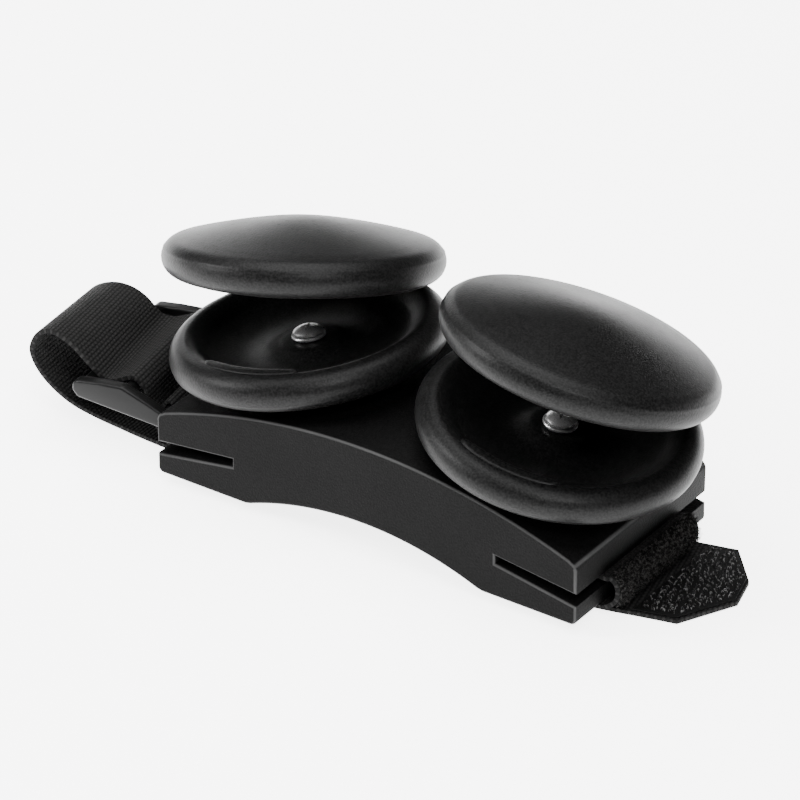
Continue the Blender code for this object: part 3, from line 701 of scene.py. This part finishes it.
SLOT_END = [(44.5, 13.8, 0, 0, 0), (54, 12.75, 0, 0, 0), (66.9, 11.3, 0, 0, 0)]
TURN = [(69.0, 11.9, 0, 0, 0), (70.9, 10.7, 0, 0, 0), (71.6, 8.3, 0, 0, 0), (70.9, 5.3, 0, 0, 0),
        (68.2, 3.0, 0, 0, 0), (64, 2.1, 0, 0, 0)]
UNDER = [(x, 2.1, 0, 0, 0) for x in (40, 10, -20, -50, -64)]
RISE = [(-67, 2.2, 0, 0, 0), (-71.4, 3.1, -0.1, 1, 0), (-75.2, 5.0, -0.3, 3, 0), (-78.9, 8.9, -0.5, 6, 0)]
LOOP = [(-80.9, 12.0, -0.8, 9.5, 0), (-81.9, 15.4, -1.0, 9.5, 0), (-83.1, 19.0, -1.2, 9.5, 0),
        (-86.3, 21.4, -1.7, 9.5, 0), (-89.7, 20.2, -2.3, 10, 0), (-92.8, 18.9, -2.9, 11, 0),
        (-96.2, 18.9, -3.4, 12.5, 0), (-98.8, 20.9, -3.9, 12.5, 0), (-101.8, 23.6, -4.4, 12, 0.5),
        (-105.2, 26.0, -5.0, 12.5, 2.5), (-109.2, 27.2, -5.6, 13.5, 5), (-113.3, 27.0, -6.2, 14.5, 8),
        (-117.0, 24.8, -6.6, 15, 9), (-119.3, 21.0, -6.7, 15, 8), (-119.4, 17.6, -6.2, 14.5, 7),
        (-117.4, 13.2, -4.8, 13, 5), (-113.6, 8.8, -2.8, 11, 3), (-108.4, 5.2, -0.8, 9, 1.5),
        (-101.5, 2.9, 1.0, 6.5, 0.5), (-94.0, 1.7, 2.0, 4, 0), (-86.0, 1.0, 2.2, 2, 0)]
TAIL = [(-79.0, 0.7, 2.2, 0.5, 0), (-74.0, 0.6, 2.2, 0, 0), (-50, 0.6, 2.0, 0, 0), (-20, 0.6, 1.8, 0, 0),
        (10, 0.6, 1.5, 0, 0), (40, 0.6, 1.1, 0, 0), (58, 0.6, 1.3, 3, 0), (64, 0.6, 2.4, 10, 0),
        (70.7, 0.6, 4.3, 14.5, 0), (80.4, 0.6, 6.8, 14.5, 0), (96, 0.6, 10.8, 14.5, 0)]
TAIL_TIP = [(85.2, -11.6), (93.4, 4.8), (90.6, 15.0), (81.4, 25.3)]


def trim(bm, corners):
    """Cut a flat end to an outline of upright cuts, each joining two corners."""
    for (x, y), (next_x, next_y) in zip(corners, corners[1:]):
        outward = Vector((next_y - y, x - next_x, 0)).normalized()
        geometry = bm.verts[:] + bm.edges[:] + bm.faces[:]
        bmesh.ops.bisect_plane(bm, geom=geometry, dist=0.0001 * MM, plane_co=(x * MM, y * MM, 0),
                               plane_no=outward, clear_outer=True)


web_path = flowing(stations(SLOT_END + TURN + UNDER + RISE + LOOP + TAIL), 5)
web_mesh, web_length = band(web_path, WEB_WIDTH, 0)
trim(web_mesh, TAIL_TIP)
WEBBING = webbing_finish("ribbed webbing", web_length, WEB_WIDTH)
strap = finished("strap", web_mesh, WEBBING, 60)
thicken(strap, WEB_THICKNESS, 0.3 * MM)
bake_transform(strap)
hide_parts("strap_anchor_run", "strap_loop", "strap_tail")

# The buckle tab: a short piece of the same webbing, a little narrower and thinner, folded round the
# swivel bar with both of its ends in the left slot.
TAB_WIDTH = 36 * MM
PLY = 0.9 * MM
swivel_x, swivel_z = (value / MM for value in (buckle_place.translation.x, buckle_place.translation.z))
EYE = 2.75
fold = [(swivel_x + EYE * math.cos(turn), swivel_z + EYE * math.sin(turn), -0.2, 9.5, 0)
        for turn in (math.radians(angle) for angle in range(-70, -300, -23))]
LOWER_PLY = [(-44.6, 13.3, 0, 0, 0), (-54, 11.9, 0, 0, 0), (-66.9, 10.1, 0, 1, 0), (-70.6, 9.8, 0, 4, 0)]
UPPER_PLY = [(-71.6, 13.6, 0, 6, 0), (-69.4, 12.1, 0, 3, 0), (-66.9, 11.1, 0, 1, 0), (-54, 12.9, 0, 0, 0),
             (-44.6, 14.3, 0, 0, 0)]
tab_mesh, tab_length = band(flowing(stations(LOWER_PLY + fold + UPPER_PLY), 3), TAB_WIDTH, 0)
tab = finished("tab", tab_mesh, webbing_finish("ribbed tab webbing", tab_length, TAB_WIDTH), 60)
thicken(tab, PLY, 0.25 * MM)
fit(tab, "base", "web_black", "buckle_tab")

# The fastening tapes: a patch of soft looped pile on the outer face of the strap's turn at the right
# end, and a patch of stiff hooks on the top of the trimmed end, so that the end can be folded up and
# pressed on to hold the strap tight.


def strands(name, lines, thickness, finish):
    """Many short yarns or hooks as one mesh piece."""
    curve = bpy.data.curves.new(name, "CURVE")
    curve.dimensions = "3D"
    curve.bevel_depth = thickness / 2
    curve.bevel_resolution = 0
    curve.use_fill_caps = True
    for line in lines:
        spline = curve.splines.new("POLY")
        spline.points.add(len(line) - 1)
        for point, place in zip(spline.points, line):
            point.co = (*place, 1)
    return as_mesh(name, curve, finish)


TAPE_THICKNESS = 1.1 * MM
PILE_HEIGHT = 0.75 * MM
HOOK_HEIGHT = 1.0 * MM
HOOK_PITCH = (1.25 * MM, 1.0 * MM)
PILE_COUNT = 2600
PILE_FROM = (69 * MM, 4.2 * MM)
PILE_YARN = 0.13 * MM
HOOK_WIRE = 0.2 * MM
HOOK_PATCH_THICKNESS = 0.45 * MM
HOOK_FIELD_CENTRE = (82, 5)
HOOK_FIELD_TURN = math.radians(14.5)
HOOK_FIELD_REACH = 40
HOOK_MARGIN = 0.9
TAPE_GAP = 0.1 * MM

PILE = Finish("looped pile", 0.9, specular=0.05)
tuft = PILE.grain(0.8 * MM, 4)
PILE.set("Base Color", PILE.mix(tuft.rise(0.45, 0.62), grey(0.0008), grey(0.03, 0.03)))
PILE.relief(tuft + PILE.grain(0.2 * MM, 3), 0.4 * MM)
HOOKS = Finish("hook patch", 0.6, specular=0.1)
HOOKS.set("Base Color", HOOKS.mix(HOOKS.grain(0.7 * MM, 3), grey(0.0004), grey(0.002)))
HOOKS.relief(HOOKS.grain(0.25 * MM, 3), 0.2 * MM)

# Painted glints: random bright patches in the colour of the black hooks.
PAINTED_GLINT_HOOKS = Finish("stiff hooks with painted glints", 0.35, specular=0.4)
PAINTED_GLINT_HOOKS.set("Base Color", PAINTED_GLINT_HOOKS.mix(PAINTED_GLINT_HOOKS.grain(1.1 * MM, 3).rise(0.46, 0.6), grey(0.001), grey(0.16)))

chance = random.Random(11)
turn_path = [station for station in flowing(stations(SLOT_END + TURN), 8)
             if station[0] > PILE_FROM[0] and station[1] > PILE_FROM[1]]
backing = TAPE_THICKNESS - PILE_HEIGHT + 0.25 * MM
pile_mesh = band(turn_path, WEB_WIDTH - MM, (WEB_THICKNESS + backing) / 2 + TAPE_GAP)[0]
pile_mesh.normal_update()
patches = []
for face in pile_mesh.faces:
    outward = face.normal if face.normal.x > 0 or face.normal.z > 0.5 else -face.normal
    patches.append(([vert.co.copy() for vert in face.verts], outward.copy(), face.calc_area()))
pile = finished("pile_patch", pile_mesh, PILE, 60)
thicken(pile, backing, 0.15 * MM)
fit(pile, "base", "pile_black", "pile_tape")


def on_patch(corners):
    """A random point on a four-cornered patch."""
    u, v = chance.random(), chance.random()
    return (corners[0].lerp(corners[1], u)).lerp(corners[3].lerp(corners[2], u), v)


def loose(size):
    """A random small shift."""
    return Vector((chance.uniform(-size, size), chance.uniform(-size, size), chance.uniform(-size, size)))


total_area = sum(area for corners, outward, area in patches)
loops = []
for corners, outward, area in patches:
    for _ in range(round(PILE_COUNT * area / total_area)):
        root = on_patch(corners) + outward * (backing / 2 - 0.1 * MM)
        lean = loose(0.45 * MM)
        crown = root + outward * PILE_HEIGHT * chance.uniform(0.5, 1.0) + lean
        bulge = root.lerp(crown, 0.6) + loose(0.12 * MM)
        loops.append([root, bulge, crown, crown + loose(0.4 * MM) - outward * 0.2 * MM])
fuzz = strands("pile_fuzz", loops, PILE_YARN, PILE)
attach(fuzz, "base")

HOOK_OUTLINE = [(73.4, -14.2), (84.7, -10.8), (92.6, 4.9), (89.9, 14.7), (81.1, 24.4), (73.4, 22.5)]
hook_base = WEB_THICKNESS + TAPE_GAP
hook_top = hook_base + HOOK_PATCH_THICKNESS
hook_mesh = slab([(x * MM, y * MM) for x, y in HOOK_OUTLINE], hook_base, hook_top, "Z")
outline_edges = [edge for edge in hook_mesh.edges if edge.verts[0].co.z == edge.verts[1].co.z]
soften(hook_mesh, outline_edges, 0.12 * MM, 2)
fit(finished("hook_patch", hook_mesh, HOOKS, 40), "base", "hook_black", "hook_tape")


def inside_outline(x, y, outline, margin):
    """Whether a point is inside a convex outline given anticlockwise, by at least a margin."""
    corners = list(zip(outline, outline[1:] + outline[:1]))
    return all((bx - ax) * (y - ay) - (by - ay) * (x - ax) > margin * math.dist((ax, ay), (bx, by))
               for (ax, ay), (bx, by) in corners)


hooks = []
cosine, sine = math.cos(HOOK_FIELD_TURN), math.sin(HOOK_FIELD_TURN)
up = Vector((0, 0, 1))
for row in range(-HOOK_FIELD_REACH, HOOK_FIELD_REACH + 1):
    for column in range(-HOOK_FIELD_REACH, HOOK_FIELD_REACH + 1):
        across = row * HOOK_PITCH[0] / MM
        along = (column + 0.5 * (row % 2)) * HOOK_PITCH[1] / MM
        x = HOOK_FIELD_CENTRE[0] + across * cosine - along * sine
        y = HOOK_FIELD_CENTRE[1] + across * sine + along * cosine
        if inside_outline(x, y, HOOK_OUTLINE, HOOK_MARGIN):
            root = Vector((x * MM, y * MM, 0)) + loose(0.45 * MM)
            root.z = hook_top - 0.05 * MM
            lean = Vector((1 if row % 2 else -1, 0.3, 0))
            bend = Matrix.Rotation(chance.uniform(-1.1, 1.1), 3, "Z") @ lean
            rise = up * HOOK_HEIGHT * chance.uniform(0.55, 0.85)
            hooks.append([root, root + rise * 0.7 + loose(0.08 * MM), root + rise + bend * 0.2 * MM,
                          root + rise * 0.8 + bend * 0.5 * MM, root + rise * 0.5 + bend * 0.5 * MM])
hook_field = strands("hook_field", hooks, HOOK_WIRE, PAINTED_GLINT_HOOKS)
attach(hook_field, "base")

# The setting: a pale floor that also gives off light, soft lamps above, in front and behind, and the
# camera in front and to the right of the castanets.
FLOOR_SIZE = 6.0
FLOOR_GLOW = 4.4
FLOOR_DROP = 0.2 * MM
WORLD_LIGHT = 0.1
CAMERA_PLACE = Vector((0.6286, -0.9101, 0.6841))
CAMERA_AZIMUTH = math.radians(35.035)
CAMERA_ELEVATION = math.radians(30.5)
CAMERA_ROLL = math.radians(0.132)
CAMERA_LENS = 219.2

ground = bmesh.new()
bmesh.ops.create_grid(ground, x_segments=1, y_segments=1, size=FLOOR_SIZE / 2)
FLOOR = Finish("pale floor", 0.9, specular=0.1)
FLOOR.set("Base Color", FLOOR.mix(FLOOR.grain(300 * MM), grey(0.86), grey(0.9)))
FLOOR.set("Emission Color", grey(1.0))
FLOOR.set("Emission Strength", FLOOR_GLOW)
floor = finished("floor", ground, FLOOR)
floor.data.transform(Matrix.Translation((0, 0, -FLOOR_DROP)))

LIGHTS = (("overhead", (-0.2, 0.1, 1.5), 1.5, 60.0), ("front left", (-1.3, -0.9, 0.9), 0.6, 46.0),
          ("front right", (0.9, -0.8, 1.4), 0.6, 30.0), ("back left", (-1.2, 0.9, 0.5), 0.5, 3.0))
for name, place, size, power in LIGHTS:
    lamp = bpy.data.lights.new(name, "AREA")
    lamp.size = size
    lamp.energy = power
    light = bpy.data.objects.new(name, lamp)
    light.location = place
    light.rotation_euler = (Vector((0, 0, 0.03)) - Vector(place)).to_track_quat("-Z", "Y").to_euler()
    bpy.context.scene.collection.objects.link(light)

world = bpy.data.worlds.new("studio")
world.use_nodes = True
world.node_tree.nodes["Background"].inputs[0].default_value = grey(1.0)
world.node_tree.nodes["Background"].inputs[1].default_value = WORLD_LIGHT
bpy.context.scene.world = world

lens = bpy.data.cameras.new("camera")
lens.lens = CAMERA_LENS
lens.clip_start = 0.05
camera = bpy.data.objects.new("camera", lens)
facing = Matrix.Rotation(CAMERA_AZIMUTH, 4, "Z") @ Matrix.Rotation(math.pi / 2 - CAMERA_ELEVATION, 4, "X")
camera.matrix_world = Matrix.Translation(CAMERA_PLACE) @ facing @ Matrix.Rotation(-CAMERA_ROLL, 4, "Z")
bpy.context.scene.collection.objects.link(camera)
bpy.context.scene.camera = camera
